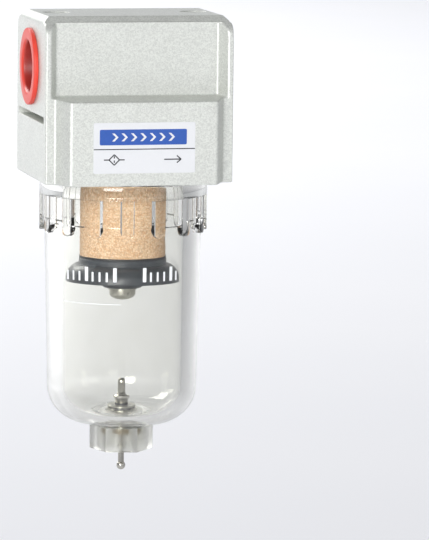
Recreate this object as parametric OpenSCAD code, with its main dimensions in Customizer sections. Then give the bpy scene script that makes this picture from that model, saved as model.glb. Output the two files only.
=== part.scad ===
// Compressed air filter: die-cast head with two quarter-inch ports, clear screw-in bowl, push drain.
// The origin is the centre of the head's top face. X runs along the ports, from inlet (-X) to
// outlet (+X), the front faces -Y, and the bowl hangs down along -Z. All sizes are in millimetres.

/* [Head] */
// Width over the two port faces
head_w = 40; // [39:0.5:42]
// Depth over the front and back faces of the lower block
head_d = 40; // [39.5:0.5:42]
// Height of the head
head_h = 34.8; // [34.8:0.2:37]
// Depth of the two port flanges, front to back
flange_d = 31; // [30:0.5:32]
// Width of the upper block's front face, between the feet of the clamp plates
upper_w = 34.7; // [34:0.1:35]
// Depth of the upper block, front to back
upper_d = 25.4; // [25:0.1:26.5]
// Height from the top face down to the ledge of the lower block
ledge_z = 16.6; // [16:0.2:17.4]

/* [Ports] */
// Radius of the port thread, at its crests
port_r = 5.72; // [5.6:0.01:5.8]
// Length of the port thread
port_thread_l = 8.4; // [8:0.1:8.6]
// Depth of the port axis below the top face
port_z = 11.3; // [11:0.1:11.5]
// Outer diameter of the transport plug's flange
plug_d = 16.2; // [15:0.1:16.4]
// Distance between the two bracket holes on the top face
bracket_spacing = 29.6; // [29.2:0.1:30]

/* [Bowl] */
// Outer radius of the grip ribs and of the rim
collar_r = 17.85; // [17.4:0.05:18]
// Outer radius of the bowl below the grip ribs
bowl_r = 16.65; // [16.4:0.05:16.8]
// Wall thickness of the bowl
bowl_wall = 3.6; // [3.2:0.1:3.7]
// Depth of the bowl's round underside, measured from the top face
bowl_bottom = 87.4; // [87:0.1:88]
// Number of grip ribs
rib_count = 16; // [12:1:20]
// Pitch of the bowl thread
bowl_pitch = 2; // [1.5:0.25:2.5]
// How far the bowl stands turned about its axis, in degrees
bowl_clock = 2; // [0:0.5:20]

/* [Filter stack] */
// Outer radius of the sintered element
element_r = 9.2; // [8.8:0.1:9.4]
// Depth of the element's lower end
element_bottom = 51.3; // [50.5:0.1:51.8]
// Radius of the baffle's rim
baffle_r = 12.1; // [11.8:0.1:12.2]

/* [Drain] */
// Radius of the drain pin's shank
pin_r = 0.65; // [0.6:0.01:0.7]
// Radius of the ball at the end of the drain pin
ball_r = 0.95; // [0.9:0.01:1]
// Turns of the drain spring
spring_turns = 4.5; // [3:0.5:5]

/* [Hidden] */
$fn = 96;
eps = 0.01;

// Head details
flange_t = 1.2;                 // thickness of the clamp plates at their front edge
flange_top = 1.3;               // depth of the clamp plates' upper edge
flange_corner = 2.8;            // radius of the clamp plates' upper corners
top_chamfer = 1.7;              // chamfer along the front and back of the top face
side_chamfer = flange_top;      // chamfer along the left and right of the top face
ledge_drop = 0.6;               // fall of the ledge from the upper block to the front face
front_w = 32.2;                 // width of the lower block's front face
root_w = 35.6;                  // width of the lower block where it leaves the flanges
front_edge = 1;                 // radius of the lower block's upright edges
slot_top = 20.9;                // upper edge of the slot in each port face
slot_h = 1.45;                  // height of that slot
slot_w = 26.8;                  // length of that slot, front to back
slot_depth = 3.5;               // depth of that slot
mouth_r = 6.9;                  // counterbore that the plug's skirt sits in
mouth_depth = 3.8;              // depth of that counterbore
bracket_hole_r = 1.65;          // tapping radius of an M4 thread
bracket_hole_depth = 4;
spot_r = 2.8;                   // shallow spot face round each bracket hole
spot_depth = 0.25;

// Inside of the head
seat_z = 24;                    // lower end of the centre boss that carries the filter stack
ceiling_z = 20.5;               // ceiling of the ring chamber round the centre boss
boss_r = 8.4;                   // centre boss
chamber_r = 13;                 // ring chamber
bowl_bore_r = 15.58;            // bore that takes the bowl's neck
bowl_bore_top = 25;             // depth at which that bore starts
core_r = 3.4;                   // column that holds the element screw
outlet_way_r = 6.4;             // outer radius of the outlet passage round that column
outlet_way_top = 9;
outlet_bore_r = 5.2;            // bore from the outlet port into that passage
drop_r = 2.6;                   // passage from the inlet down to the ring chamber
drop_x = 10.5;
screw_r = 2;                    // element screw thread
screw_top = 12;                 // upper end of the element screw's hole
screw_hole_spare = 0.5;         // how far the hole goes on past the screw's end

// Label on the front face
label_x = 10.8;                 // half its width
label_top = 21.5;
label_bottom = 32.05;
label_t = 0.12;
label_corner = 0.8;

// Transport plugs
plug_flange_t = 1;
plug_skirt_r = mouth_r - 0.05;
plug_recess_r = 5.33;
plug_floor_t = 0.7;
plug_lip = 0.35;

// Filter stack, from the boss down
deflector_t = 1;
gasket_t = 0.8;
lower_gasket_t = 0.5;
element_bore_r = 5.8;
gasket_r = 8.85;
stack_z1 = seat_z + deflector_t;
stack_z2 = stack_z1 + gasket_t;
baffle_top = element_bottom + lower_gasket_t;
baffle_neck_r = element_r + 0.1;
baffle_neck_h = 1.3;            // height of the plain neck above the bell
baffle_rim = baffle_top + 4.8;
baffle_edge = 0.5;              // height of the rim's upright edge
baffle_skin = 1.1;              // wall of the bell
web_t = 0.9;
hub_r = 4.4;
hub_z = baffle_top + 6.5;
washer_t = 0.4;
dome_z = hub_z + washer_t;
dome_r = 2.8;
dome_h = 2.3;
dome_side = 0.9;                // upright part of the screw's head
vane_count = 12;

// Bowl details
neck_r = 15.5;                  // crests of the bowl thread
neck_root_r = 14.75;            // roots of the bowl thread
neck_top = 25.3;
rim_top = head_h + 0.4;         // a narrow gap stays open under the head
rim_bottom = 38.3;              // lower edge of the plain rim, where the windows start
step_z = 43.9;                  // small step on the outside, behind the ribs
step_h = 0.3;                   // height of that step's slope
rib_end = 46.2;                 // lower, rounded ends of the ribs
rib_w = 3.1;
rib_set_back = 0.04;            // the ribs' outer faces lie this far inside the rim
window_r = 16.95;               // outer radius between the ribs
bowl_low_r = bowl_r - 0.65;     // outer radius just above the round underside
bowl_corner = 8;                // radius of the underside's round edge
inner_top_r = bowl_r - bowl_wall - 0.1;
inner_low_r = inner_top_r - 0.4;
floor_z = 85;                   // inner floor of the bowl
inner_corner = 5.5;
ring_groove_z = 27.2;           // middle of the O-ring groove
ring_groove_w = 1.9;
ring_groove_r = 13.97;          // bottom of the O-ring groove
ring_wire_r = 0.74;
hex_r = 6.75;                   // corner radius of the hexagonal drain boss
hex_clock = 46.5;               // its turn against the ribs
hex_end = 93.4;
cavity_r = 4.7;
cavity_top = 88.4;
floor_hole_r = 2.1;

// Drain valve
seat_flange_r = 3.05;
seat_top = 84.3;
seat_flange_t = 0.4;
seat_shank_r = 2.05;
seat_bore_r = 0.95;
seat_end = 90.2;
drain_washer_t = 0.4;
nut_r = 3.2;
nut_h = 1.2;
tip_z = 77.9;                   // upper end of the drain pin
tip_r = 0.8;                    // radius of its rounded upper end
tip_h = 0.6;                    // height of that rounding
neck_end = 81.2;                // lower end of the stretch below the rounding
neck_ring_r = 0.95;             // small ring on top of the poppet
poppet_top = 81.9;
poppet_r = 1.8;
poppet_edge = 0.5;              // height of the poppet's upright edge
poppet_low_r = 1.3;
seal_t = 0.4;
clip_top = 92.9;
clip_t = 0.4;
clip_r = 1.6;
ball_z = 97.15;
spring_wire_r = 0.09;
spring_r = 1.15;
ring_count = 16;                // rings of points in each turn of the spring

// Points of an arc, from angle a0 to angle a1
function arc(x, y, r, a0, a1, n = 6) =
  [for (i = [0:n]) let (a = a0 + (a1 - a0) * i / n) [x + r * cos(a), y + r * sin(a)]];

function mirrored(points) = [for (i = [len(points) - 1:-1:0]) [-points[i].x, points[i].y]];

// A ring about the Z axis, between two depths below the top face
module ring(r_out, r_in, top, bottom) {
  translate([0, 0, -bottom])
    difference() {
      cylinder(r = r_out, h = bottom - top);
      translate([0, 0, -eps]) cylinder(r = r_in, h = bottom - top + 2 * eps);
    }
}

// A solid cylinder about the Z axis, between two depths below the top face
module rod(r, top, bottom) {
  translate([0, 0, -bottom]) cylinder(r = r, h = bottom - top);
}

// Extrudes an outline given as [y, z] along X, centred
module along_x(points, w) {
  rotate([90, 0, 90]) translate([0, 0, -w / 2]) linear_extrude(w) polygon(points);
}

// Extrudes an outline given as [x, z] along Y, centred
module along_y(points, d) {
  rotate([90, 0, 0]) translate([0, 0, -d / 2]) linear_extrude(d) polygon(points);
}

// Places its children at the inlet, for side -1, or at the outlet, for side 1, with +Z pointing out
module at_port(side) {
  translate([side * head_w / 2, 0, -port_z]) rotate([0, side * 90, 0]) children();
}

// Outline of the port flanges, seen along the ports
function flange_outline() =
  let (y = flange_d / 2, c = flange_corner,
       right = concat([[y, -head_h]], arc(y - c, -flange_top - c, c, 0, 90)))
  concat(right, mirrored(right));

// Outline of the lower block, seen from above
function block_plan() =
  let (e = front_edge, y = head_d / 2, x = front_w / 2,
       back = concat([[head_w / 2, flange_d / 2], [root_w / 2, flange_d / 2]],
                     arc(x - e, y - e, e, 15, 90)),
       all_back = concat(back, mirrored(back)))
  concat(all_back, [for (i = [len(all_back) - 1:-1:0]) [all_back[i].x, -all_back[i].y]]);

module head_envelope() {
  top = [[-upper_d / 2, -flange_top - 5], [-upper_d / 2, -top_chamfer],
         [top_chamfer - upper_d / 2, 0], [upper_d / 2 - top_chamfer, 0],
         [upper_d / 2, -top_chamfer], [upper_d / 2, -flange_top - 5]];
  sides = [[-head_w / 2, -flange_top - 5], [-head_w / 2, -side_chamfer],
           [side_chamfer - head_w / 2, 0], [head_w / 2 - side_chamfer, 0],
           [head_w / 2, -side_chamfer], [head_w / 2, -flange_top - 5]];
  ledge = [[-head_d / 2, -head_h], [-head_d / 2, -ledge_z - ledge_drop], [-upper_d / 2, -ledge_z],
           [upper_d / 2, -ledge_z], [head_d / 2, -ledge_z - ledge_drop], [head_d / 2, -head_h]];
  along_x(flange_outline(), head_w);
  intersection() {
    along_x(top, head_w);
    along_y(sides, upper_d);
  }
  intersection() {
    translate([0, 0, -head_h]) linear_extrude(head_h) polygon(block_plan());
    along_x(ledge, head_w);
  }
}

// Space in front of the upper block, between the clamp plates, whose inner faces slope outwards
module clamp_recess() {
  foot_x = upper_w / 2;
  edge_x = head_w / 2 - flange_t;
  front = [[-head_d / 2, 1], [-upper_d / 2, 1], [-upper_d / 2, -ledge_z],
           [-head_d / 2, -ledge_z - ledge_drop]];
  plan = [[-foot_x, -upper_d / 2], [-edge_x, -flange_d / 2], [-edge_x, -head_d / 2 - 1],
          [edge_x, -head_d / 2 - 1], [edge_x, -flange_d / 2], [foot_x, -upper_d / 2]];
  intersection() {
    along_x(front, head_w);
    translate([0, 0, -head_h]) linear_extrude(head_h + 2) polygon(plan);
  }
}

module body() {
  color([0.83, 0.83, 0.8])
    difference() {
      head_envelope();
      clamp_recess();
      mirror([0, 1, 0]) clamp_recess();
      for (side = [-1, 1]) {
        // plug seat, port thread and bracket hole
        at_port(side) translate([0, 0, -mouth_depth]) cylinder(r = mouth_r, h = mouth_depth + 1);
        at_port(side)
          translate([0, 0, -mouth_depth - port_thread_l])
            cylinder(r = port_r, h = port_thread_l + eps);
        translate([side * bracket_spacing / 2, 0, 0]) {
          rod(bracket_hole_r, -1, bracket_hole_depth);
          rod(spot_r, -1, spot_depth);
        }
        // slot below the port
        translate([side * (head_w / 2 - slot_depth / 2 + eps), 0, -slot_top - slot_h / 2])
          cube([slot_depth + 2 * eps, slot_w, slot_h], center = true);
      }
      // passages: inlet drop, outlet ring, outlet bore
      translate([-drop_x, 0, 0]) rod(drop_r, port_z, ceiling_z + eps);
      ring(outlet_way_r, core_r, outlet_way_top, seat_z + eps);
      translate([core_r, 0, -port_z]) rotate([0, 90, 0]) cylinder(r = outlet_bore_r, h = 6);
      rod(screw_r, screw_top, seat_z + eps);
      // ring chamber and the bore for the bowl
      ring(chamber_r, boss_r, ceiling_z, seat_z);
      rod(chamber_r, seat_z - eps, bowl_bore_top + eps);
      rod(bowl_bore_r, bowl_bore_top, head_h + 1);
    }
}

module label() {
  x = label_x - label_corner;
  top = -label_top - label_corner;
  bottom = -label_bottom + label_corner;
  outline = concat(arc(x, top, label_corner, 0, 90), arc(-x, top, label_corner, 90, 180),
                   arc(-x, bottom, label_corner, 180, 270), arc(x, bottom, label_corner, 270, 360));
  color([0.95, 0.95, 0.94])
    translate([0, -head_d / 2 - label_t / 2, 0]) along_y(outline, label_t);
}

// Push-in transport plug, made about +Z and open towards +Z, its flange resting on z = 0
module port_plug() {
  skirt = mouth_depth - 0.1;
  outline = [[0, -skirt], [plug_skirt_r - 0.3, -skirt], [plug_skirt_r, -skirt + 0.3],
             [plug_skirt_r, 0], [plug_d / 2, 0], [plug_d / 2, plug_flange_t - plug_lip],
             [plug_d / 2 - plug_lip, plug_flange_t], [plug_recess_r + plug_lip, plug_flange_t],
             [plug_recess_r, plug_flange_t - plug_lip], [plug_recess_r - 0.2, -skirt + plug_floor_t],
             [0, -skirt + plug_floor_t]];
  rotate_extrude() polygon(outline);
}

module inlet_plug() {
  color([0.86, 0.2, 0.16]) at_port(-1) port_plug();
}

module outlet_plug() {
  color([0.86, 0.2, 0.16]) at_port(1) port_plug();
}

// Ring of slanted vanes that spins the incoming air, clamped under the centre boss
module deflector() {
  hub_out = boss_r + 0.95;
  color([0.2, 0.21, 0.23]) {
    ring(hub_out, outlet_way_r, seat_z, stack_z1);
    ring(hub_out, boss_r + 0.1, ceiling_z + 0.6, seat_z + eps);
    intersection() {
      ring(chamber_r - 0.5, hub_out - 0.3, ceiling_z + 0.6, stack_z1);
      for (i = [0:vane_count - 1])
        rotate([0, 0, i * 360 / vane_count])
          translate([hub_out - 0.5, 0, -(ceiling_z + 0.6 + stack_z1) / 2])
            rotate([35, 0, 0]) translate([0, -0.4, -4]) cube([6, 0.8, 8]);
    }
  }
}

module element_top_gasket() {
  color([0.12, 0.12, 0.13]) ring(gasket_r, outlet_way_r, stack_z1, stack_z2);
}

module filter_element() {
  color([0.84, 0.7, 0.52]) ring(element_r, element_bore_r, stack_z2, element_bottom);
}

module element_bottom_gasket() {
  color([0.12, 0.12, 0.13]) ring(element_r, element_bore_r, element_bottom, baffle_top);
}

// Bell-shaped baffle with a short neck, a hub and six webs, closing the element's lower end
module baffle() {
  bell_w = baffle_r - baffle_neck_r;
  bell_h = baffle_rim - baffle_edge - baffle_top - baffle_neck_h;
  hollow_h = bell_h - baffle_skin;
  hollow_r = baffle_neck_r - 0.4;
  outer = [for (i = [0:8]) let (a = 90 - i * 90 / 8)
             [baffle_neck_r + bell_w * cos(a), -baffle_rim + baffle_edge + bell_h * sin(a)]];
  inner = [for (i = [8:-1:0]) let (a = 90 - i * 90 / 8)
             [hollow_r + (baffle_r - baffle_skin - hollow_r) * cos(a), -baffle_rim + hollow_h * sin(a)]];
  outline = concat([[screw_r + 0.1, -baffle_top], [baffle_neck_r, -baffle_top]], outer,
                   [[baffle_r, -baffle_rim]], inner,
                   [[hub_r, -baffle_rim + hollow_h], [hub_r, -hub_z + 0.4],
                    [hub_r - 0.4, -hub_z], [screw_r + 0.1, -hub_z]]);
  color([0.17, 0.18, 0.2]) {
    rotate_extrude() polygon(outline);
    for (i = [0:5])
      rotate([0, 0, i * 60 + 10])
        translate([hub_r - 0.3, -web_t / 2, -baffle_rim + 0.6])
          cube([baffle_neck_r - hub_r + 0.8, web_t, hollow_h]);
  }
}

module screw_washer() {
  color([0.75, 0.76, 0.78]) ring(dome_r + 0.3, screw_r + 0.05, hub_z, dome_z);
}

// Long screw with a domed head, up through the baffle and the element into the head
module element_screw() {
  cap_h = dome_h - dome_side;
  dome = concat([[0, -dome_z], [dome_r, -dome_z]],
                [for (a = [0:7.5:90]) [dome_r * cos(a), -dome_z - dome_side - cap_h * sin(a)]]);
  color([0.72, 0.73, 0.74])
    difference() {
      union() {
        rod(screw_r - 0.02, screw_top + screw_hole_spare, dome_z + 0.2);
        rotate_extrude() polygon(dome);
      }
      for (a = [0, 90])
        rotate([0, 0, a + 30])
          translate([0, 0, -dome_z - dome_h]) cube([3.4, 0.7, 1.6], center = true);
    }
}

module bowl_o_ring() {
  color([0.1, 0.1, 0.11])
    translate([0, 0, -ring_groove_z])
      rotate_extrude() translate([ring_groove_r + 0.02 + ring_wire_r, 0]) circle(r = ring_wire_r, $fn = 24);
}

// Half section of the bowl: neck, O-ring groove, thread crests, rim, wall and round underside
function bowl_section() =
  let (thread = [for (i = [0:2]) let (z = -29.2 - i * bowl_pitch)
                   each [[neck_root_r, z], [neck_r, z - 0.5], [neck_r, z - 0.9], [neck_root_r, z - 1.4]]],
       gz = ring_groove_z, gw = ring_groove_w / 2,
       neck = [[inner_top_r, -neck_top], [neck_root_r + 0.2, -neck_top],
               [neck_r - 0.1, -neck_top - 0.3], [neck_r - 0.1, -gz + gw], [ring_groove_r, -gz + gw],
               [ring_groove_r, -gz - gw], [neck_r - 0.1, -gz - gw], [neck_root_r, -gz - gw - 0.4]],
       rim = [[neck_root_r, -rim_top], [collar_r - 0.4, -rim_top], [collar_r, -rim_top - 0.4],
              [collar_r, -rim_bottom], [window_r, -rim_bottom], [window_r, -step_z],
              [bowl_r, -step_z - step_h], [bowl_r, -rib_end - 1]],
       under = arc(bowl_low_r - bowl_corner, -bowl_bottom + bowl_corner, bowl_corner, 0, -90, 16),
       inside = arc(inner_low_r - inner_corner, -floor_z + inner_corner, inner_corner, -90, 0, 12))
  concat(neck, thread, rim, under, [[0, -bowl_bottom]], [[0, -floor_z]], inside,
         [[inner_top_r, -rib_end]]);

// One grip rib with a rounded lower end, from inside the rim down, lying along +X
module grip_rib() {
  r = rib_w / 2;
  outline = concat([[rim_bottom - 0.5, r], [rim_bottom - 0.5, -r]],
                   arc(rib_end - r, 0, r, -90, 90, 10));
  intersection() {
    rotate([0, 90, 0]) linear_extrude(collar_r + 1) polygon(outline);
    ring(collar_r - rib_set_back, window_r - 1.2, rim_top, rib_end + 1);
  }
}

module bowl() {
  color([0.86, 0.88, 0.86, 0.45])
    rotate([0, 0, bowl_clock])
      difference() {
        union() {
          rotate_extrude() polygon(bowl_section());
          for (i = [0:rib_count - 1])
            rotate([0, 0, (i + 0.5) * 360 / rib_count]) grip_rib();
          rotate([0, 0, hex_clock])
            translate([0, 0, -hex_end]) cylinder(r = hex_r, h = hex_end - bowl_bottom + 1, $fn = 6);
        }
        rod(cavity_r, cavity_top, hex_end + 1);
        rod(floor_hole_r, floor_z - 1, cavity_top + 1);
      }
}

module drain_seat() {
  color([0.79, 0.66, 0.4])
    difference() {
      union() {
        rod(seat_flange_r, seat_top, seat_top + seat_flange_t);
        rod(seat_shank_r, seat_top + eps, seat_end);
      }
      rod(seat_bore_r, seat_top - 1, seat_end + 1);
    }
}

module drain_seat_gasket() {
  color([0.12, 0.12, 0.13])
    ring(seat_flange_r - 0.1, seat_shank_r + 0.02, seat_top + seat_flange_t, floor_z);
}

module drain_washer() {
  color([0.75, 0.76, 0.78])
    ring(nut_r + 0.4, seat_shank_r + 0.05, cavity_top, cavity_top + drain_washer_t);
}

module drain_nut() {
  top = cavity_top + drain_washer_t;
  color([0.79, 0.66, 0.4])
    translate([0, 0, -top - nut_h])
      difference() {
        cylinder(r = nut_r, h = nut_h, $fn = 6);
        translate([0, 0, -1]) cylinder(r = seat_shank_r + 0.02, h = nut_h + 2);
      }
}

// Poppet with a rounded tip above it, a long shank and a ball that the user pushes up
module drain_pin() {
  low = seat_top - seal_t;
  outline = concat(
    [[0, -tip_z], [tip_r - 0.3, -tip_z - 0.1], [tip_r, -tip_z - tip_h], [tip_r, -neck_end],
     [neck_ring_r, -neck_end], [neck_ring_r, -neck_end - 0.4], [poppet_low_r, -poppet_top + 0.2],
     [poppet_r, -poppet_top], [poppet_r, -poppet_top - poppet_edge], [poppet_low_r, -low], [pin_r, -low]],
    arc(0, -ball_z, ball_r, acos(pin_r / ball_r), -90, 12));
  color([0.75, 0.75, 0.76]) rotate_extrude() polygon(outline);
}

module drain_seal() {
  color([0.12, 0.12, 0.13]) ring(poppet_low_r + 0.1, pin_r + eps, seat_top - seal_t, seat_top);
}

// Points of one ring of the spring's wire, square to its helix
function wire_ring(a, z, sides) =
  [for (s = [0:sides - 1]) let (b = s * 360 / sides, r = spring_r + spring_wire_r * cos(b))
     [r * cos(a), r * sin(a), z + spring_wire_r * sin(b)]];

module drain_spring() {
  sides = 6;
  steps = spring_turns * ring_count;
  top = -seat_end - spring_wire_r;
  bottom = -clip_top + spring_wire_r;
  points = [for (i = [0:steps])
              each wire_ring(i * 360 / ring_count, top + (bottom - top) * i / steps, sides)];
  walls = [for (i = [0:steps - 1], s = [0:sides - 1]) let (t = (s + 1) % sides)
             [i * sides + s, i * sides + t, (i + 1) * sides + t, (i + 1) * sides + s]];
  start = [for (s = [sides - 1:-1:0]) s];
  end = [for (s = [0:sides - 1]) steps * sides + s];
  color([0.7, 0.71, 0.73]) polyhedron(points, concat([start], walls, [end]));
}

module drain_spring_clip() {
  color([0.7, 0.71, 0.73]) ring(clip_r, pin_r + eps, clip_top, clip_top + clip_t);
}

body();
label();
inlet_plug();
outlet_plug();
deflector();
element_top_gasket();
filter_element();
element_bottom_gasket();
baffle();
screw_washer();
element_screw();
bowl_o_ring();
bowl();
drain_seat();
drain_seat_gasket();
drain_washer();
drain_nut();
drain_pin();
drain_seal();
drain_spring();
drain_spring_clip();
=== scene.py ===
from math import acos, cos, pi, radians, sin, sqrt

import bpy
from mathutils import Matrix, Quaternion, Vector


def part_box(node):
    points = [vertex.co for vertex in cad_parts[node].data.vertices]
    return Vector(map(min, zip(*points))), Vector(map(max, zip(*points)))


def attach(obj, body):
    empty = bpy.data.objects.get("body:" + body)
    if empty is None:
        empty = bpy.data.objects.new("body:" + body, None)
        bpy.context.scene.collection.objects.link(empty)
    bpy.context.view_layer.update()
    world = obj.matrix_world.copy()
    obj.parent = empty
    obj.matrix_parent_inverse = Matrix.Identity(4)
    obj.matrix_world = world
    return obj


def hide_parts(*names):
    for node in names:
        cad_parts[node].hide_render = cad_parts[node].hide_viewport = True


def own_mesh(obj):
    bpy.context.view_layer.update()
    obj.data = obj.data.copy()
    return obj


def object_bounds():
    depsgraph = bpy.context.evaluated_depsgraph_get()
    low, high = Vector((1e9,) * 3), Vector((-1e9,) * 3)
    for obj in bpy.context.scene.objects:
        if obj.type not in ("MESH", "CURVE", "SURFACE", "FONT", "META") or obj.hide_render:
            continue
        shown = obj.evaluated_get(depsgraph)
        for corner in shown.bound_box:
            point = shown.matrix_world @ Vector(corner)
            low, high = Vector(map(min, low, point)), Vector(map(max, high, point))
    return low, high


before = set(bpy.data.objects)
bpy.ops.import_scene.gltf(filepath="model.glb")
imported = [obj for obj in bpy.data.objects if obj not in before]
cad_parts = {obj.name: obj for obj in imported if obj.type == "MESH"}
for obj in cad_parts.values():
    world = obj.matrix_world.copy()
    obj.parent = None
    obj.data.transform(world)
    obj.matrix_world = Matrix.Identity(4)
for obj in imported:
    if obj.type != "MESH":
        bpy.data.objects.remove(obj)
cad_low, cad_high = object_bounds()
scene = bpy.context.scene
scene.view_settings.view_transform = "Standard"
bpy.ops.object.select_all(action="DESELECT")
mm = 0.001


# --- Camera: a long lens in front of the inlet corner, a little above the head ---
# The view is 12.5 degrees left of the front and looks slightly down, with the filter left of centre.
camera_data = bpy.data.cameras.new("camera")
camera = bpy.data.objects.new("camera", camera_data)
scene.collection.objects.link(camera)
camera_data.lens = 268.5
camera_heading, camera_pitch, camera_roll = radians(13.82), radians(-7.69), radians(0.675)
view_line = Vector((sin(camera_heading) * cos(camera_pitch), cos(camera_heading) * cos(camera_pitch),
                    sin(camera_pitch)))
camera.location = (-0.184, -0.830, 0.060)
camera.rotation_mode = "QUATERNION"
camera.rotation_quaternion = view_line.to_track_quat("-Z", "Y") @ Quaternion((0, 0, 1), camera_roll)
scene.camera = camera


# --- Stage: a wide pale floor below the hanging filter ---
# Matt studio paper: no gloss, a faint mottle so that it isn't one flat colour.
def linear(hex_colour):
    parts = [int(hex_colour[i:i + 2], 16) / 255 for i in (1, 3, 5)]
    return [p / 12.92 if p <= 0.04045 else ((p + 0.055) / 1.055) ** 2.4 for p in parts] + [1]


def node(tree, kind, inputs=None, **settings):
    made = tree.nodes.new(kind)
    for key, value in settings.items():
        setattr(made, key, value)
    for key, value in (inputs or {}).items():
        if isinstance(value, bpy.types.NodeSocket):
            tree.links.new(value, made.inputs[key])
        else:
            made.inputs[key].default_value = value
    return made


def material_of(name):
    material = bpy.data.materials.new(name)
    material.use_nodes = True
    tree = material.node_tree
    return material, tree, tree.nodes["Principled BSDF"]


floor_gap = 0.4
floor_radius = 14
bpy.ops.mesh.primitive_circle_add(vertices=64, radius=floor_radius, fill_type="NGON",
                                  location=(0, 0, cad_low.z - floor_gap))
floor = bpy.context.object
floor.name = "studio_floor"
bpy.ops.object.transform_apply(location=True, rotation=True, scale=True)
paper, tree, shader = material_of("studio_paper")
place = node(tree, "ShaderNodeTexCoord")
mottle = node(tree, "ShaderNodeTexNoise", {"Vector": place.outputs["Object"], "Scale": 1.5})
tint = node(tree, "ShaderNodeMix", {"Factor": mottle.outputs["Fac"], 6: linear("#e9eaee"),
                                    7: linear("#f0f0f2")}, data_type="RGBA")
tree.links.new(tint.outputs[2], shader.inputs["Base Color"])
shader.inputs["Roughness"].default_value = 0.9
floor.data.materials.append(paper)


# --- Light: a large soft box in front on the left, a small one on the right and a lamp on the floor ---
# The room is bright in front and behind, dim at both sides and dark overhead, which gives clear and
# polished parts their dark outlines.
world = bpy.data.worlds.new("studio")
world.use_nodes = True
scene.world = world
tree = world.node_tree
place = node(tree, "ShaderNodeTexCoord")
split = node(tree, "ShaderNodeSeparateXYZ", {"Vector": place.outputs["Generated"]})
overhead = node(tree, "ShaderNodeMapRange",
                {"Value": split.outputs["Z"], "From Min": 0.12, "From Max": 0.65, "To Min": 1.0,
                 "To Max": 0.28}, interpolation_type="SMOOTHSTEP")
left = node(tree, "ShaderNodeMapRange",
            {"Value": split.outputs["X"], "From Min": -0.25, "From Max": -0.95, "To Min": 0.95,
             "To Max": 0.55}, interpolation_type="SMOOTHSTEP")
right = node(tree, "ShaderNodeMapRange",
             {"Value": split.outputs["X"], "From Min": 0.25, "From Max": 0.95, "To Min": 1.0,
              "To Max": 0.5}, interpolation_type="SMOOTHSTEP")
flanks = node(tree, "ShaderNodeMath", {0: left.outputs["Result"], 1: right.outputs["Result"]},
              operation="MULTIPLY")
both = node(tree, "ShaderNodeMath", {0: overhead.outputs["Result"], 1: flanks.outputs[0]},
            operation="MULTIPLY")
tree.nodes["Background"].inputs["Color"].default_value = linear("#f4f6fb")
tree.links.new(both.outputs[0], tree.nodes["Background"].inputs["Strength"])


def soft_box(name, place, aim, size, power):
    lamp = bpy.data.lights.new(name, "AREA")
    lamp.shape = "SQUARE"
    lamp.size = size
    lamp.energy = power
    box = bpy.data.objects.new(name, lamp)
    scene.collection.objects.link(box)
    box.location = place
    box.rotation_mode = "QUATERNION"
    box.rotation_quaternion = (Vector(aim) - Vector(place)).to_track_quat("-Z", "Y")


middle = (cad_low + cad_high) / 2
soft_box("key_light", (-0.7, -1.44, 0.3), middle, 0.75, 20.5)
soft_box("fill_light", (0.9, -0.8, 0.1), middle, 0.5, 1.0)
soft_box("floor_light", (-3.0, 6.5, 4.5), (-1.5, 6.5, -0.5), 5, 700)


# --- Head: a pressure die casting in aluminium, finished in silver lacquer with coarse flake ---
# The casting's edges are rounded. Port seats, clamp recesses, slots and the bracket holes' spot faces
# are all cast or machined into the one piece.
def activate(piece):
    bpy.ops.object.select_all(action="DESELECT")
    piece.select_set(True)
    bpy.context.view_layer.objects.active = piece


def softened_copy(node_name, name, edge, edge_at=None):
    # the CAD node's own shape with its sharp edges rounded; edge_at gives an edge's share of the radius
    piece = bpy.data.objects.new(name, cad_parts[node_name].data.copy())
    scene.collection.objects.link(piece)
    piece.data.materials.clear()
    activate(piece)
    bpy.ops.mesh.customdata_custom_splitnormals_clear()
    bpy.ops.object.mode_set(mode="EDIT")
    bpy.ops.mesh.select_all(action="SELECT")
    bpy.ops.mesh.remove_doubles(threshold=0.002 * mm)
    bpy.ops.mesh.dissolve_limited(angle_limit=radians(0.6))
    bpy.ops.mesh.select_mode(type="EDGE")
    bpy.ops.mesh.select_all(action="DESELECT")
    bpy.ops.mesh.edges_select_sharp(sharpness=radians(28))
    bpy.ops.object.mode_set(mode="OBJECT")
    mesh = piece.data
    weights = mesh.attributes.new("bevel_weight_edge", "FLOAT", "EDGE")
    for sharp in mesh.edges:
        if sharp.select:
            centre = (mesh.vertices[sharp.vertices[0]].co + mesh.vertices[sharp.vertices[1]].co) / 2
            weights.data[sharp.index].value = edge_at(centre) if edge_at else 1
    round_off = piece.modifiers.new("edges", "BEVEL")
    round_off.width = edge
    round_off.segments = 3
    round_off.limit_method = "WEIGHT"
    round_off.use_clamp_overlap = False
    bpy.ops.object.shade_smooth_by_angle(angle=radians(40))
    even = piece.modifiers.new("even_faces", "WEIGHTED_NORMAL")
    even.keep_sharp = True
    bpy.ops.object.modifier_apply(modifier="edges")
    bpy.ops.object.modifier_apply(modifier="even_faces")
    return piece


bracket_x = 14.8 * mm


def head_edge(at):
    near_hole = abs(abs(at.x) - bracket_x) < 3.2 * mm and abs(at.y) < 3.2 * mm and at.z > -0.6 * mm
    in_slot = -23 * mm < at.z < -20.5 * mm and abs(at.x) > 17 * mm and abs(at.y) < 14 * mm
    outside = max(abs(at.x), abs(at.y)) > 12.4 * mm or at.z > -2 * mm or at.z < -34.6 * mm
    if near_hole or in_slot:
        return 0.3
    return 1 if outside else 0


head = softened_copy("body", "head_casting", 0.32 * mm, head_edge)

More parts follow.
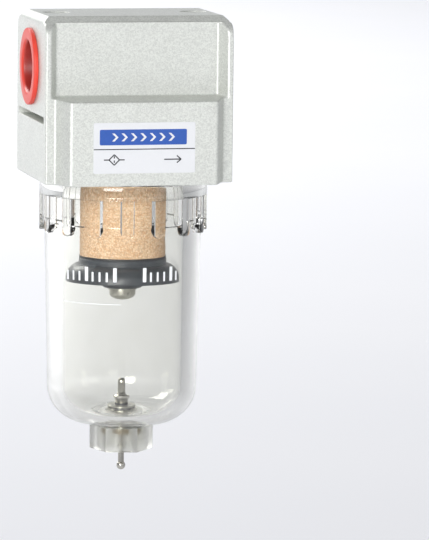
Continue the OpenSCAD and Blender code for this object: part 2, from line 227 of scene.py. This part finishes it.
# Silver lacquer: aluminium flake in clear resin, so half metallic, with a fine orange peel and slightly
# greyer patches where the spray is thin. Real flake is far finer: it is drawn 0.24 mm across to show.
lacquer, tree, shader = material_of("silver_lacquer")
place = node(tree, "ShaderNodeTexCoord")
flake = node(tree, "ShaderNodeTexVoronoi", {"Vector": place.outputs["Object"], "Scale": 1 / (0.24 * mm)})
glint = node(tree, "ShaderNodeSeparateColor", {"Color": flake.outputs["Color"]})
flake_light = node(tree, "ShaderNodeMapRange", {"Value": glint.outputs["Red"], "To Min": 0.86,
                                                "To Max": 1.1})
patch = node(tree, "ShaderNodeTexNoise", {"Vector": place.outputs["Object"], "Scale": 1 / (7 * mm),
                                          "Detail": 4.0})
patch_light = node(tree, "ShaderNodeMapRange", {"Value": patch.outputs["Fac"], "To Min": 0.94,
                                                "To Max": 1.05})
light = node(tree, "ShaderNodeMath", {0: flake_light.outputs["Result"], 1: patch_light.outputs["Result"]},
             operation="MULTIPLY")
silver = node(tree, "ShaderNodeMix", {"Factor": 1.0, 6: linear("#d4d6d0"), 7: light.outputs[0]},
              data_type="RGBA", blend_type="MULTIPLY")
tree.links.new(silver.outputs[2], shader.inputs["Base Color"])
peel = node(tree, "ShaderNodeTexNoise", {"Vector": place.outputs["Object"], "Scale": 1 / (0.5 * mm),
                                         "Detail": 3.0})
peel_bump = node(tree, "ShaderNodeBump", {"Height": peel.outputs["Fac"], "Strength": 0.25,
                                          "Distance": 0.05 * mm})
flake_bump = node(tree, "ShaderNodeBump", {"Height": glint.outputs["Green"], "Strength": 0.2,
                                           "Distance": 0.04 * mm, "Normal": peel_bump.outputs["Normal"]})
tree.links.new(flake_bump.outputs["Normal"], shader.inputs["Normal"])
flake_rough = node(tree, "ShaderNodeMapRange", {"Value": glint.outputs["Blue"], "To Min": 0.34,
                                                "To Max": 0.5})
tree.links.new(flake_rough.outputs["Result"], shader.inputs["Roughness"])
shader.inputs["Metallic"].default_value = 0.42
head.data.materials.append(lacquer)
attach(head, "head")
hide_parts("body")


# --- Label: white vinyl film on the front face, with a blue bar, a fine black rule and two signs ---
# Generic print: flow chevrons in the bar, and under the rule the plain symbol for a filter and an arrow.
# The film is 0.09 mm thick, and the inks stand 0.015 mm above it.
label_low, label_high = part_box("label")
film_face = label_low.y + 0.03 * mm


def print_shape(name, points, back, front, material):
    # a flat outline of [x, z] points in millimetres, filled and thickened between two depths
    bpy.ops.object.select_all(action="DESELECT")
    bpy.ops.mesh.primitive_circle_add(vertices=len(points), radius=1, fill_type="NGON")
    piece = bpy.context.object
    piece.name = name
    for corner, (x, z) in zip(piece.data.vertices, points):
        corner.co = (x * mm, back, z * mm)
    bpy.ops.object.mode_set(mode="EDIT")
    bpy.ops.mesh.extrude_region_move(TRANSFORM_OT_translate={"value": (0, front - back, 0)})
    bpy.ops.mesh.select_all(action="SELECT")
    bpy.ops.mesh.normals_make_consistent(inside=False)
    bpy.ops.object.mode_set(mode="OBJECT")
    piece.data.materials.append(material)
    return piece


def rounded_box(x0, x1, z0, z1, radius):
    corners = [(x1 - radius, z1 - radius, 0), (x0 + radius, z1 - radius, 90),
               (x0 + radius, z0 + radius, 180), (x1 - radius, z0 + radius, 270)]
    return [(x + radius * cos(radians(start + step)), z + radius * sin(radians(start + step)))
            for x, z, start in corners for step in range(0, 91, 15)]


def join(pieces, name):
    bpy.ops.object.select_all(action="DESELECT")
    for piece in pieces:
        piece.select_set(True)
    bpy.context.view_layer.objects.active = pieces[0]
    bpy.ops.object.join()
    pieces[0].name = name
    return pieces[0]


def ink(name, hex_colour, speckle):
    # screen-printed ink: nearly flat colour, a little thinner here and there, with a soft sheen
    material, tree, shader = material_of(name)
    place = node(tree, "ShaderNodeTexCoord")
    thin = node(tree, "ShaderNodeTexNoise", {"Vector": place.outputs["Object"],
                                             "Scale": 1 / (0.5 * mm), "Detail": 3.0})
    tone = node(tree, "ShaderNodeMapRange", {"Value": thin.outputs["Fac"], "To Min": 1 - speckle,
                                             "To Max": 1 + speckle})
    colour = node(tree, "ShaderNodeMix", {"Factor": 1.0, 6: linear(hex_colour), 7: tone.outputs[0]},
                  data_type="RGBA", blend_type="MULTIPLY")
    tree.links.new(colour.outputs[2], shader.inputs["Base Color"])
    shader.inputs["Roughness"].default_value = 0.42
    return material


white_film = ink("white_vinyl", "#d6d7d9", 0.02)
blue_ink = ink("blue_ink", "#2953a4", 0.08)
black_ink = ink("black_ink", "#1c1e22", 0.1)

film = print_shape("label_film", rounded_box(-10.8, 10.8, -32.05, -21.5, 0.35), label_high.y, film_face,
                   white_film)
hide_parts("label")
blue_bar = print_shape("label_bar", rounded_box(-9.5, 9.0, -26.15, -22.9, 0.3), film_face,
                       film_face - 0.01 * mm, blue_ink)
chevrons = []
for place_x in (-6.9, -4.9, -2.9, -0.9, 1.1, 3.1, 5.1):
    outline = [(place_x, -23.7), (place_x + 0.55, -23.7), (place_x + 1.35, -24.52),
               (place_x + 0.55, -25.35), (place_x, -25.35), (place_x + 0.8, -24.52)]
    chevrons.append(print_shape("chevron", outline, film_face - 0.01 * mm, film_face - 0.016 * mm,
                                white_film))
chevron_row = join(chevrons, "label_chevrons")
rule = print_shape("label_rule", rounded_box(-10.75, 10.75, -27.12, -26.92, 0.05), film_face,
                   film_face - 0.012 * mm, black_ink)


def stroke(x0, z0, x1, z1, width):
    along = Vector((x1 - x0, z1 - z0)).normalized()
    across = Vector((-along.y, along.x)) * width / 2
    return [(x0 + across.x, z0 + across.y), (x0 - across.x, z0 - across.y),
            (x1 - across.x, z1 - across.y), (x1 + across.x, z1 + across.y)]


sign_z = -29.2
strokes = [(-8.6, sign_z, -7.5, sign_z), (-5.3, sign_z, -4.2, sign_z),
           (-7.5, sign_z, -6.4, sign_z + 1.1), (-6.4, sign_z + 1.1, -5.3, sign_z),
           (-5.3, sign_z, -6.4, sign_z - 1.1), (-6.4, sign_z - 1.1, -7.5, sign_z),
           (-6.4, sign_z + 0.8, -6.4, sign_z + 0.3), (-6.4, sign_z - 0.1, -6.4, sign_z - 0.6),
           (4.2, sign_z, 7.8, sign_z), (6.9, sign_z + 0.75, 7.8, sign_z), (6.9, sign_z - 0.75, 7.8, sign_z)]
signs = join([print_shape("sign", stroke(*ends, 0.24), film_face, film_face - 0.012 * mm, black_ink)
              for ends in strokes], "label_signs")
for printed in (film, blue_bar, chevron_row, rule, signs):
    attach(printed, "head")


# --- Transport plugs: soft red polyethylene caps pushed into both ports ---
# Injection moulded, so all edges are round. Thin skirts let a little light through, and the
# surface is waxy. Each is made about Z and turned onto the port's axis.
def turned(name, outline, steps, edge, material):
    # a half section of [radius, height] points in millimetres, drawn point by point and spun round Z
    bpy.ops.object.select_all(action="DESELECT")
    first = Vector((outline[0][0] * mm, 0, outline[0][1] * mm))
    bpy.ops.mesh.primitive_plane_add(size=mm, location=first)
    piece = bpy.context.object
    piece.name = name
    bpy.ops.object.transform_apply(location=True, rotation=True, scale=True)
    bpy.ops.object.mode_set(mode="EDIT")
    bpy.ops.mesh.select_mode(type="VERT")
    bpy.ops.mesh.select_all(action="SELECT")
    bpy.ops.mesh.merge(type="CENTER")
    for here, there in zip(outline, outline[1:]):
        step = ((there[0] - here[0]) * mm, 0, (there[1] - here[1]) * mm)
        bpy.ops.mesh.extrude_region_move(TRANSFORM_OT_translate={"value": step})
    bpy.ops.mesh.select_all(action="SELECT")
    bpy.ops.mesh.spin(steps=steps, angle=2 * pi, center=(0, 0, 0), axis=(0, 0, 1))
    bpy.ops.mesh.select_all(action="SELECT")
    bpy.ops.mesh.remove_doubles(threshold=0.002 * mm)
    bpy.ops.mesh.normals_make_consistent(inside=False)
    if edge:
        bpy.ops.mesh.select_mode(type="EDGE")
        bpy.ops.mesh.select_all(action="DESELECT")
        bpy.ops.mesh.edges_select_sharp(sharpness=radians(32))
        bpy.ops.mesh.bevel(offset=edge, segments=3, affect="EDGES", clamp_overlap=False)
    bpy.ops.object.mode_set(mode="OBJECT")
    bpy.ops.object.shade_smooth_by_angle(angle=radians(40))
    piece.data.materials.append(material)
    return piece


plug_low, plug_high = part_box("inlet_plug")
port_z = (plug_low.z + plug_high.z) / 2
skirt_r, recess_r = 6.85, 5.33

red_wax, tree, shader = material_of("red_polyethylene")
place = node(tree, "ShaderNodeTexCoord")
cloud = node(tree, "ShaderNodeTexNoise", {"Vector": place.outputs["Object"], "Scale": 1 / (2.5 * mm),
                                          "Detail": 3.0})
red = node(tree, "ShaderNodeMix", {"Factor": cloud.outputs["Fac"], 6: linear("#d83c2e"),
                                   7: linear("#e24a3b")}, data_type="RGBA")
# the recess is painted a deeper red than the flange: painted shade for its depth
off_axis = node(tree, "ShaderNodeMapping", {"Vector": place.outputs["Object"],
                                            "Location": (0, 0, -port_z), "Scale": (0, 1, 1)})
reach = node(tree, "ShaderNodeVectorMath", {0: off_axis.outputs["Vector"]}, operation="LENGTH")
recess_shade_mask = node(tree, "ShaderNodeMapRange", {"Value": reach.outputs["Value"], "From Min": (recess_r - 0.08) * mm,
                                        "From Max": (recess_r + 0.27) * mm})
# painted shade: dark red inside the recess radius, the plug's own red outside it
recess_painted_shade = node(tree, "ShaderNodeMix", {"Factor": recess_shade_mask.outputs["Result"], 6: linear("#8f241c"),
                                        7: red.outputs[2]}, data_type="RGBA")
tree.links.new(recess_painted_shade.outputs[2], shader.inputs["Base Color"])
grain = node(tree, "ShaderNodeTexNoise", {"Vector": place.outputs["Object"], "Scale": 1 / (0.35 * mm)})
matt = node(tree, "ShaderNodeBump", {"Height": grain.outputs["Fac"], "Strength": 0.12,
                                     "Distance": 0.03 * mm})
tree.links.new(matt.outputs["Normal"], shader.inputs["Normal"])
shader.inputs["Roughness"].default_value = 0.4
shader.inputs["IOR"].default_value = 1.51
shader.inputs["Subsurface Weight"].default_value = 0.04
shader.inputs["Subsurface Scale"].default_value = 1.2 * mm
shader.inputs["Subsurface Radius"].default_value = (1.0, 0.25, 0.15)

flange_r = (plug_high.y - plug_low.y) / 2 / mm
plug_depth = (plug_high.x - plug_low.x) / mm - 1
plug_section = [(0, -plug_depth), (skirt_r, -plug_depth), (skirt_r, 0), (flange_r, 0), (flange_r, 1),
                (recess_r + 0.5, 1), (recess_r, 0.5), (recess_r - 0.25, -plug_depth + 0.8),
                (1.7, -plug_depth + 0.8), (1.4, -plug_depth + 1.3), (0, -plug_depth + 1.3)]
for side, node_name in ((-1, "inlet_plug"), (1, "outlet_plug")):
    plug = turned(node_name + "_cap", plug_section, 96, 0.22 * mm, red_wax)
    activate(plug)
    plug.rotation_euler = (0, side * pi / 2, 0)
    plug.location = (side * (abs(plug_low.x) - 1 * mm), 0, port_z)
    bpy.ops.object.transform_apply(location=True, rotation=True, scale=True)
    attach(plug, node_name)
    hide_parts(node_name)


# --- Deflector and seals: small dark mouldings that stay as the CAD model has them ---
# Glass-filled nylon for the deflector, nitrile rubber for every gasket, ring and seal.
def moulding(name, hex_colour, rough, grain_size):
    material, tree, shader = material_of(name)
    place = node(tree, "ShaderNodeTexCoord")
    grain = node(tree, "ShaderNodeTexNoise", {"Vector": place.outputs["Object"], "Scale": 1 / grain_size,
                                              "Detail": 4.0})
    tone = node(tree, "ShaderNodeMapRange", {"Value": grain.outputs["Fac"], "To Min": 0.7, "To Max": 1.35})
    colour = node(tree, "ShaderNodeMix", {"Factor": 1.0, 6: linear(hex_colour), 7: tone.outputs[0]},
                  data_type="RGBA", blend_type="MULTIPLY")
    bump = node(tree, "ShaderNodeBump", {"Height": grain.outputs["Fac"], "Strength": 0.15,
                                         "Distance": 0.04 * mm})
    wear = node(tree, "ShaderNodeMapRange", {"Value": grain.outputs["Fac"], "To Min": rough - 0.08,
                                             "To Max": rough + 0.08})
    tree.links.new(colour.outputs[2], shader.inputs["Base Color"])
    tree.links.new(bump.outputs["Normal"], shader.inputs["Normal"])
    tree.links.new(wear.outputs[0], shader.inputs["Roughness"])
    return material


black_nylon = moulding("black_nylon", "#23262b", 0.42, 0.4 * mm)
nitrile = moulding("nitrile_rubber", "#17171a", 0.6, 0.25 * mm)


def refinish(node_name, material):
    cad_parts[node_name].data.materials.clear()
    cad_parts[node_name].data.materials.append(material)


refinish("deflector", black_nylon)
for seal in ("element_top_gasket", "element_bottom_gasket", "bowl_o_ring", "drain_seat_gasket",
             "drain_seal"):
    refinish(seal, nitrile)


# --- Filter element: a tube of sintered beads, tan and porous ---
# The beads are about 0.3 mm and stand out of the wall, so the outside is really bumpy and its
# colour changes from bead to bead.
element_low, element_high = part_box("filter_element")
element_r = element_high.x / mm
bead = 0.32 * mm
wall_rows = 70
top_z, foot_z = element_high.z / mm, element_low.z / mm
outer_wall = [(element_r - 0.08, top_z + (foot_z - top_z) * row / wall_rows)
              for row in range(wall_rows + 1)]
bore_r = 5.8
beads, tree, shader = material_of("sintered_beads")
place = node(tree, "ShaderNodeTexCoord")
cells = node(tree, "ShaderNodeTexVoronoi", {"Vector": place.outputs["Object"], "Scale": 1 / bead})
pick = node(tree, "ShaderNodeSeparateColor", {"Color": cells.outputs["Color"]})
bead_tint = node(tree, "ShaderNodeValToRGB", {"Fac": pick.outputs["Red"]})
bead_tint.color_ramp.elements[0].color = linear("#c69a70")
bead_tint.color_ramp.elements[1].color = linear("#e2c7a7")
# the gaps between the beads are painted darker: painted shade in the pores
pore_painted_shade = node(tree, "ShaderNodeMapRange", {"Value": cells.outputs["Distance"], "From Min": 0.25,
                                          "From Max": 0.75, "To Min": 1.0, "To Max": 0.7})
shaded = node(tree, "ShaderNodeMix", {"Factor": 1.0, 6: bead_tint.outputs["Color"], 7: pore_painted_shade.outputs[0]},
              data_type="RGBA", blend_type="MULTIPLY")
tree.links.new(shaded.outputs[2], shader.inputs["Base Color"])
bead_bump = node(tree, "ShaderNodeBump", {"Height": cells.outputs["Distance"], "Strength": 0.6,
                                          "Distance": 0.12 * mm}, invert=True)
tree.links.new(bead_bump.outputs["Normal"], shader.inputs["Normal"])
shader.inputs["Roughness"].default_value = 0.7
element = turned("sintered_element",
                 outer_wall + [(bore_r, foot_z), (bore_r, top_z), (element_r - 0.08, top_z)], 180, 0, beads)
lumps = bpy.data.textures.new("bead_lumps", "CLOUDS")
lumps.noise_scale = 0.5 * mm
lumps.noise_depth = 1
swell = element.modifiers.new("lumps", "DISPLACE")
swell.texture = lumps
swell.texture_coords = "LOCAL"
swell.strength = 0.08 * mm
swell.mid_level = 0.5
activate(element)
bpy.ops.object.modifier_apply(modifier="lumps")
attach(element, "head")
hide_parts("filter_element")


# --- Baffle: a black glass-filled nylon bell with a hub and webs, which closes the element's foot ---
# The moulding keeps the CAD shape, with its rims rounded.
baffle = softened_copy("baffle", "baffle_bell", 0.16 * mm)
bell_black = moulding("bell_nylon", "#30353a", 0.34, 0.9 * mm)
baffle.data.materials.append(bell_black)
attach(baffle, "head")
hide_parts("baffle")


# --- Element screw and washer: zinc-plated steel, domed head with a cross recess ---
# Bright plating with turned lines round the axis and a faint yellowish tint. Real lines are finer: they
# are drawn about 0.1 mm wide to show.
def turned_metal(name, hex_colour, rough, line_width):
    material, tree, shader = material_of(name)
    place = node(tree, "ShaderNodeTexCoord")
    split = node(tree, "ShaderNodeSeparateXYZ", {"Vector": place.outputs["Object"]})
    height = node(tree, "ShaderNodeCombineXYZ", {"X": split.outputs["Z"]})
    lines = node(tree, "ShaderNodeTexNoise", {"Vector": height.outputs["Vector"], "Scale": 1 / line_width,
                                              "Detail": 2.0})
    stain = node(tree, "ShaderNodeTexNoise", {"Vector": place.outputs["Object"], "Scale": 1 / (1.2 * mm),
                                              "Detail": 4.0})
    tone = node(tree, "ShaderNodeMapRange", {"Value": stain.outputs["Fac"], "To Min": 0.82, "To Max": 1.12})
    colour = node(tree, "ShaderNodeMix", {"Factor": 1.0, 6: linear(hex_colour), 7: tone.outputs[0]},
                  data_type="RGBA", blend_type="MULTIPLY")
    bump = node(tree, "ShaderNodeBump", {"Height": lines.outputs["Fac"], "Strength": 0.15,
                                         "Distance": 0.02 * mm})
    dull = node(tree, "ShaderNodeMapRange", {"Value": stain.outputs["Fac"], "To Min": rough * 0.7,
                                             "To Max": rough * 1.4})
    tree.links.new(colour.outputs[2], shader.inputs["Base Color"])
    tree.links.new(bump.outputs["Normal"], shader.inputs["Normal"])
    tree.links.new(dull.outputs[0], shader.inputs["Roughness"])
    shader.inputs["Metallic"].default_value = 1.0
    return material


zinc = turned_metal("zinc_plate", "#b9b7ad", 0.28, 0.12 * mm)
stainless = turned_metal("polished_stainless", "#bdbab2", 0.16, 0.1 * mm)
brass = turned_metal("turned_brass", "#a8946a", 0.3, 0.15 * mm)
screw = softened_copy("element_screw", "element_screw_domed", 0.08 * mm)
screw.data.materials.append(zinc)
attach(screw, "head")
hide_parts("element_screw")
for plated in ("screw_washer", "drain_washer"):
    refinish(plated, zinc)


# --- Bowl: clear polycarbonate, moulded in one with its thread, grip ribs and hexagonal drain boss ---
# The half section is spun round the axis, the ribs are pulled out of the wall between the windows,
# and the drain boss's outside is drawn out to a hexagon. Slightly smoky, with fine flow marks.
bowl_low, bowl_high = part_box("bowl")
spin_steps = 288
turn = 360 / spin_steps
bowl_turned = 2
rib_turns, period_turns, hex_turn = 8, 18, 46.5
neck_top, hex_foot = bowl_high.z / mm, bowl_low.z / mm
collar_r = 17.85
rim_top, rim_foot, step_z, rib_foot = -35.2, -38.3, -43.9, -46.2
window_r, bowl_r, low_r, corner_r, under_z = 16.95, 16.65, 16.0, 8.0, -87.4
inner_top_r, inner_low_r, inner_corner_r, floor_z = 12.95, 12.55, 5.5, -85.0
boss_flat_r, cavity_r, cavity_top, floor_hole_r = 5.85, 4.7, -88.4, 2.1
neck_r, root_r, groove_r, groove_z, groove_half = 15.5, 14.75, 13.97, -27.2, 0.95


def arc_points(x, z, radius, start, end, steps):
    return [(x + radius * cos(radians(start + (end - start) * i / steps)),
             z + radius * sin(radians(start + (end - start) * i / steps))) for i in range(steps + 1)]


def straight(start, end, steps):
    return [(start[0] + (end[0] - start[0]) * i / steps, start[1] + (end[1] - start[1]) * i / steps)
            for i in range(steps + 1)]


thread = []
for crest in range(3):
    z = -29.2 - 2 * crest
    thread += [(root_r, z), (neck_r, z - 0.5), (neck_r, z - 0.9), (root_r, z - 1.4)]
neck = [(inner_top_r, neck_top), (neck_r - 0.4, neck_top), (neck_r - 0.1, neck_top - 0.3),
        (neck_r - 0.1, groove_z + groove_half), (groove_r, groove_z + groove_half),
        (groove_r, groove_z - groove_half), (neck_r - 0.1, groove_z - groove_half),
        (root_r, groove_z - groove_half - 0.4)]
rim = ([(root_r, rim_top)] + arc_points(collar_r - 0.35, rim_top - 0.35, 0.35, 90, 0, 4)
       + arc_points(collar_r - 0.15, rim_foot + 0.15, 0.15, 0, -90, 3)
       + [(window_r, rim_foot), (window_r, step_z), (bowl_r, step_z - 0.3), (bowl_r, rib_foot)])
under = arc_points(low_r - corner_r, under_z + corner_r, corner_r, 0, -90, 18)
boss = [(boss_flat_r + 0.25, under_z), (boss_flat_r, under_z - 0.25), (boss_flat_r, hex_foot + 0.2),
        (boss_flat_r - 0.2, hex_foot), (cavity_r + 0.15, hex_foot), (cavity_r, hex_foot + 0.15),
        (cavity_r, cavity_top), (floor_hole_r, cavity_top), (floor_hole_r, floor_z)]
inside = arc_points(inner_low_r - inner_corner_r, floor_z + inner_corner_r, inner_corner_r, -90, 0, 14)
wall = straight((bowl_r, rib_foot), (low_r, under_z + corner_r), 10)[1:-1]
inner_wall = straight((inner_low_r, floor_z + inner_corner_r), (inner_top_r, neck_top), 14)[1:]

# Polycarbonate: index 1.58, almost clear. Faint vertical flow lines and a light mottle on the inner
# wall bend the light a little, and the thick parts look smoky grey.
clear, tree, shader = material_of("clear_polycarbonate")
place = node(tree, "ShaderNodeTexCoord")
stretched = node(tree, "ShaderNodeMapping", {"Vector": place.outputs["Object"], "Scale": (1.0, 1.0, 0.15)})
flow = node(tree, "ShaderNodeTexNoise", {"Vector": stretched.outputs["Vector"], "Scale": 1 / (3 * mm),
                                         "Detail": 2.0})
ripple = node(tree, "ShaderNodeBump", {"Height": flow.outputs["Fac"], "Strength": 0.03,
                                       "Distance": 0.1 * mm})
tree.links.new(ripple.outputs["Normal"], shader.inputs["Normal"])
smear = node(tree, "ShaderNodeTexNoise", {"Vector": place.outputs["Object"], "Scale": 1 / (5 * mm),
                                          "Detail": 3.0})
haze = node(tree, "ShaderNodeMapRange", {"Value": smear.outputs["Fac"], "To Min": 0.0, "To Max": 0.05})
height = node(tree, "ShaderNodeSeparateXYZ", {"Vector": place.outputs["Object"]})
frost = node(tree, "ShaderNodeMapRange", {"Value": height.outputs["Z"], "From Min": (under_z - 1) * mm,
                                          "From Max": (under_z + 0.5) * mm, "To Min": 0.3, "To Max": 0.0})
dullness = node(tree, "ShaderNodeMath", {0: haze.outputs[0], 1: frost.outputs[0]}, operation="MAXIMUM")
tree.links.new(dullness.outputs[0], shader.inputs["Roughness"])
smoke = node(tree, "ShaderNodeMix", {"Factor": smear.outputs["Fac"], 6: linear("#f4f4ee"),
                                     7: linear("#fcfcf9")}, data_type="RGBA")
thick = node(tree, "ShaderNodeMapRange", {"Value": height.outputs["Z"], "From Min": (under_z - 1) * mm,
                                          "From Max": (under_z + 3) * mm, "To Min": 1.0, "To Max": 0.0})
tinted = node(tree, "ShaderNodeMix", {"Factor": thick.outputs[0], 6: smoke.outputs[2],
                                      7: linear("#d9d9d2")}, data_type="RGBA")
tree.links.new(tinted.outputs[2], shader.inputs["Base Color"])
shader.inputs["IOR"].default_value = 1.58
shader.inputs["Transmission Weight"].default_value = 1.0

bowl = turned("clear_bowl", neck + thread + rim + wall + under + boss + inside + inner_wall, spin_steps, 0,
              clear)


def clock(at):
    # an angle round the axis, in spin steps
    return (Vector((at.x, at.y)).angle_signed(Vector((1, 0))) * 180 / pi) % 360 / turn


def off_rib(at):
    # how many spin steps a point is away from the middle of the nearest rib
    return abs(clock(at) % period_turns - period_turns / 2)


activate(bowl)
bpy.ops.object.mode_set(mode="EDIT")
bpy.ops.mesh.select_mode(type="FACE")
bpy.ops.mesh.select_all(action="DESELECT")
bpy.ops.object.mode_set(mode="OBJECT")
for face in bowl.data.polygons:
    at = face.center
    reach = Vector((at.x, at.y)).length
    in_band = rib_foot * mm < at.z < rim_foot * mm and reach > 16 * mm
    under_rim = abs(at.z - rim_foot * mm) < 0.01 * mm and reach > window_r * mm
    face.select = (in_band or under_rim) and off_rib(at) < rib_turns / 2
bpy.ops.object.mode_set(mode="EDIT")
bpy.ops.mesh.extrude_region_move(TRANSFORM_OT_translate={"value": (0, 0, 0)})
bpy.ops.object.mode_set(mode="OBJECT")
rib_r = collar_r - 0.04
for corner in bowl.data.vertices:
    reach = Vector((corner.co.x, corner.co.y)).length
    if corner.select and reach > 0:
        # out to the rib's face, and in towards its middle, so that its sides slope
        slant = (clock(corner.co) % period_turns - period_turns / 2) * turn * 0.22
        corner.co.x *= rib_r * mm / reach
        corner.co.y *= rib_r * mm / reach
        corner.co = Quaternion((0, 0, 1), radians(-slant)) @ corner.co
# each rib's lower end becomes round: its points rise with their distance from the rib's middle
foot_round = rib_turns / 2 * radians(turn) * rib_r
for corner in bowl.data.vertices:
    across = off_rib(corner.co) * radians(turn) * rib_r
    if abs(corner.co.z - rib_foot * mm) < 0.01 * mm and across < foot_round * 1.01:
        corner.co.z += (foot_round - sqrt(max(0, foot_round ** 2 - across ** 2))) * 0.9 * mm
# the boss's ring of points goes out to the hexagon, whose corners are sharp
for corner in bowl.data.vertices:
    reach = Vector((corner.co.x, corner.co.y)).length
    if corner.co.z < (under_z + 0.01) * mm and cavity_r * mm * 1.06 < reach < (boss_flat_r + 0.3) * mm:
        away = (clock(corner.co) * turn - hex_turn) % 60 - 30
        corner.co.x /= cos(radians(away))
        corner.co.y /= cos(radians(away))
bowl.rotation_euler = (0, 0, radians(bowl_turned))
activate(bowl)
bpy.ops.object.transform_apply(location=True, rotation=True, scale=True)
bpy.ops.object.mode_set(mode="EDIT")
bpy.ops.mesh.select_all(action="SELECT")
bpy.ops.mesh.remove_doubles(threshold=0.003 * mm)
bpy.ops.mesh.normals_make_consistent(inside=False)
bpy.ops.mesh.select_mode(type="EDGE")
bpy.ops.mesh.select_all(action="DESELECT")
bpy.ops.mesh.edges_select_sharp(sharpness=radians(50))
bpy.ops.object.mode_set(mode="OBJECT")
for line in bowl.data.edges:
    middle_at = (bowl.data.vertices[line.vertices[0]].co + bowl.data.vertices[line.vertices[1]].co) / 2
    on_rib = Vector((middle_at.x, middle_at.y)).length > (rib_r - 0.1) * mm
    line.select = line.select and on_rib and middle_at.z < (rim_foot - 0.05) * mm
bpy.ops.object.mode_set(mode="EDIT")
bpy.ops.mesh.bevel(offset=0.2 * mm, segments=3, affect="EDGES", clamp_overlap=False)
bpy.ops.mesh.select_all(action="SELECT")
bpy.ops.mesh.normals_make_consistent(inside=False)
bpy.ops.object.mode_set(mode="OBJECT")
bpy.ops.object.shade_smooth_by_angle(angle=radians(28))
# the bowl throws no shadow, so that the lamps reach the element and the drain inside it
bowl.visible_shadow = False
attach(bowl, "bowl")
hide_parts("bowl")


# --- Drain: a plated seat with a brass nut in the bowl's floor, and a stainless pin with a poppet ---
# The pin is pushed up by its ball to let the water out, against a small spring below the nut. Its poppet
# and point are turned and polished.
seat = softened_copy("drain_seat", "drain_seat_turned", 0.06 * mm)
seat.data.materials.append(zinc)
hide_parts("drain_seat")
nut = softened_copy("drain_nut", "drain_nut_hexagon", 0.12 * mm)
nut.data.materials.append(brass)
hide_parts("drain_nut")
for fitting in (seat, nut):
    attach(fitting, "bowl")
pin_low, pin_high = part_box("drain_pin")
tip, ball_r, shank_r = pin_high.z / mm, 0.95, 0.65
ball_z = pin_low.z / mm + ball_r
neck_angle = acos(shank_r / ball_r) * 180 / pi
pin_section = ([(0, tip), (0.45, tip - 0.05), (0.66, tip - 0.25), (0.78, tip - 0.7), (0.8, tip - 1.2),
                (0.8, tip - 3.2), (0.95, tip - 3.35), (0.95, tip - 3.65), (1.3, tip - 3.8),
                (1.8, tip - 4.05), (1.8, tip - 4.4), (1.62, tip - 4.7), (1.38, tip - 5.4), (1.3, tip - 6),
                (shank_r, tip - 6)]
               + arc_points(0, ball_z, ball_r, neck_angle, -90, 14))
pin = turned("drain_pin_polished", pin_section, 64, 0, stainless)
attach(pin, "drain")
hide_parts("drain_pin")
refinish("drain_spring_clip", stainless)

# The spring is wound from round wire. Its top end stays on the seat's end.
spring_low, spring_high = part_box("drain_spring")
wire_r, coil_r, coils, coil_steps = 0.09 * mm, 1.15 * mm, 4.5, 24
spring_length = spring_high.z - spring_low.z
bpy.ops.object.select_all(action="DESELECT")
bpy.ops.mesh.primitive_circle_add(vertices=12, radius=wire_r, rotation=(pi / 2, 0, 0),
                                  location=(coil_r, 0, spring_high.z - wire_r))
spring = bpy.context.object
spring.name = "drain_spring_wire"
bpy.ops.object.transform_apply(location=True, rotation=True, scale=True)
winding = spring.modifiers.new("winding", "SCREW")
winding.angle = coils * 2 * pi
winding.steps = round(coils * coil_steps)
winding.render_steps = winding.steps
winding.screw_offset = 2 * wire_r - spring_length
bpy.ops.object.modifier_apply(modifier="winding")
bpy.ops.object.mode_set(mode="EDIT")
bpy.ops.mesh.select_mode(type="EDGE")
bpy.ops.mesh.select_all(action="DESELECT")
bpy.ops.mesh.select_non_manifold()
bpy.ops.mesh.edge_face_add()
bpy.ops.mesh.select_all(action="SELECT")
bpy.ops.mesh.normals_make_consistent(inside=False)
bpy.ops.object.mode_set(mode="OBJECT")
bpy.ops.object.shade_smooth_by_angle(angle=radians(40))
spring.data.materials.append(stainless)
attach(spring, "bowl")
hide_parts("drain_spring")
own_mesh(spring)


# --- Print on the bowl: white ink on the outside, a band of graduation marks and a level line ---
# Plain ticks and no lettering. Each mark is a patch of ink 0.02 mm thick that follows the wall.
white_ink = ink("white_ink", "#f2f3f4", 0.05)


def wall_radius(z):
    share = (rib_foot - z) / (rib_foot - under_z - corner_r)
    return bowl_r + (low_r - bowl_r) * share


def wall_patch(angle0, angle1, z0, z1):
    steps = max(2, round(abs(angle1 - angle0) / 2))
    corners = []
    for z, order in ((z0, range(steps + 1)), (z1, range(steps, -1, -1))):
        for i in order:
            angle = radians(angle0 + (angle1 - angle0) * i / steps)
            corners.append(((wall_radius(z) + 0.01) * cos(angle), (wall_radius(z) + 0.01) * sin(angle), z))
    bpy.ops.object.select_all(action="DESELECT")
    bpy.ops.mesh.primitive_grid_add(x_subdivisions=steps, y_subdivisions=1, size=1)
    piece = bpy.context.object
    for corner, number in zip(piece.data.vertices, [*range(steps + 1), *range(2 * steps + 1, steps, -1)]):
        corner.co = Vector(corners[number]) * mm
    skin = piece.modifiers.new("ink", "SOLIDIFY")
    skin.thickness = 0.02 * mm
    skin.offset = 1
    bpy.ops.object.modifier_apply(modifier="ink")
    bpy.ops.object.mode_set(mode="EDIT")
    bpy.ops.mesh.select_all(action="SELECT")
    bpy.ops.mesh.normals_make_consistent(inside=False)
    bpy.ops.object.mode_set(mode="OBJECT")
    piece.data.materials.append(white_ink)
    return piece


facing = 270 - 12.5
marks = []
tick_pitch, tick_foot, short_top, long_top = 5.4, -55.4, -53.4, -52.4
for first_angle, count in ((facing - 50, 9), (facing + 15, 6)):
    for number in range(count):
        angle = first_angle + number * tick_pitch
        if number % 4 == 0:
            marks.append(wall_patch(angle, angle + 2.6, tick_foot, long_top))
        else:
            marks.append(wall_patch(angle, angle + 1.5, tick_foot, short_top))
marks.append(wall_patch(facing - 50, facing - 1, -60.2, -60.08))
print_band = join(marks, "bowl_print")
print_band.data.materials.clear()
print_band.data.materials.append(white_ink)
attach(print_band, "bowl")
